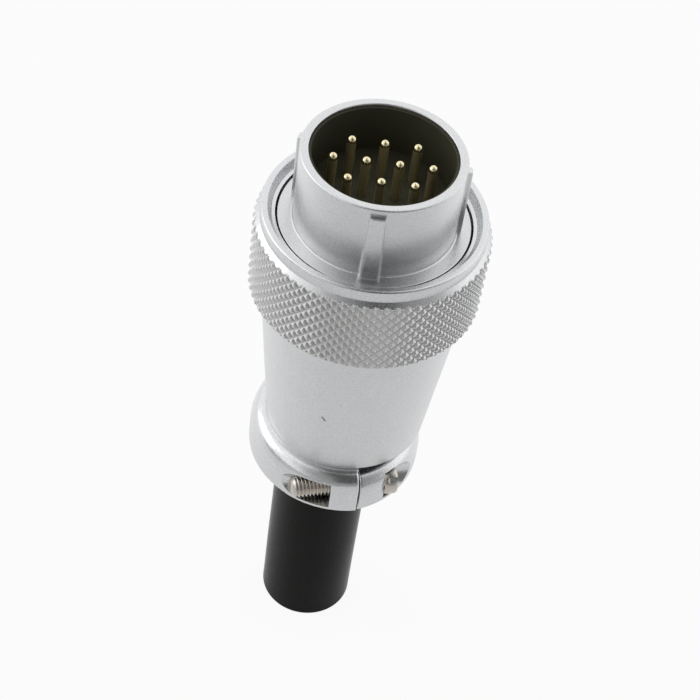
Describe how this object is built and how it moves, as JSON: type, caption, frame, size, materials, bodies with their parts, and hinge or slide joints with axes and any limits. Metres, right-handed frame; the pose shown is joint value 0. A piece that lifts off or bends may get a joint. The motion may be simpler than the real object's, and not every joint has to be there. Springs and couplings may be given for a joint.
{
  "type": "circular connector",
  "caption": "Cable plug of a circular connector: keyed barrel with contact pins, knurled coupling nut that turns and slides, tapered housing with a screwed cable clamp, and rubber sleeve.",
  "frame": {"origin": "on the axis of the metal shell, in the plane that the plug stands on", "axes": "+Z along the shell towards the mating face, -Y towards the wide key"},
  "size_m": [0.03, 0.03, 0.0877],
  "materials": {
    "plated_metal": "satin",
    "screw_nickel": "satin",
    "spring_steel": "satin",
    "contact_gold": "polished",
    "insert_plastic": "matte",
    "sleeve_rubber": "matte"
  },
  "bodies": {
    "connector_body": {"plug_shell": "plated_metal", "front_insulator": "insert_plastic", "rear_insulator": "insert_plastic", "insulator_ring": "spring_steel", "shell_gasket": "sleeve_rubber", "back_shell": "plated_metal", "cable_sleeve": "sleeve_rubber", "contact_pin_01": "contact_gold", "contact_pin_02": "contact_gold", "contact_pin_03": "contact_gold", "contact_pin_04": "contact_gold", "contact_pin_05": "contact_gold", "contact_pin_06": "contact_gold", "contact_pin_07": "contact_gold", "contact_pin_08": "contact_gold", "contact_pin_09": "contact_gold", "contact_pin_10": "contact_gold"},
    "nut_washer": {"nut_washer": "spring_steel"},
    "coupling_nut": {"coupling_nut": "plated_metal"},
    "clamp_saddle": {"clamp_saddle": "plated_metal", "clamp_screw_front": "screw_nickel", "clamp_screw_rear": "screw_nickel"}
  },
  "joints": [
    {"name": "nut_slide", "type": "slide", "parent": "connector_body", "child": "nut_washer", "axis": [0, 0, 1], "range_m": [0, 0.003]},
    {"name": "nut_spin", "type": "hinge", "parent": "nut_washer", "child": "coupling_nut", "pos_m": [0, 0, 0.0719], "axis": [0, 0, 1], "continuous": true},
    {"name": "clamp_opening", "type": "slide", "parent": "connector_body", "child": "clamp_saddle", "axis": [0.9659, 0.2588, 0], "range_m": [0, 0.002]}
  ]
}
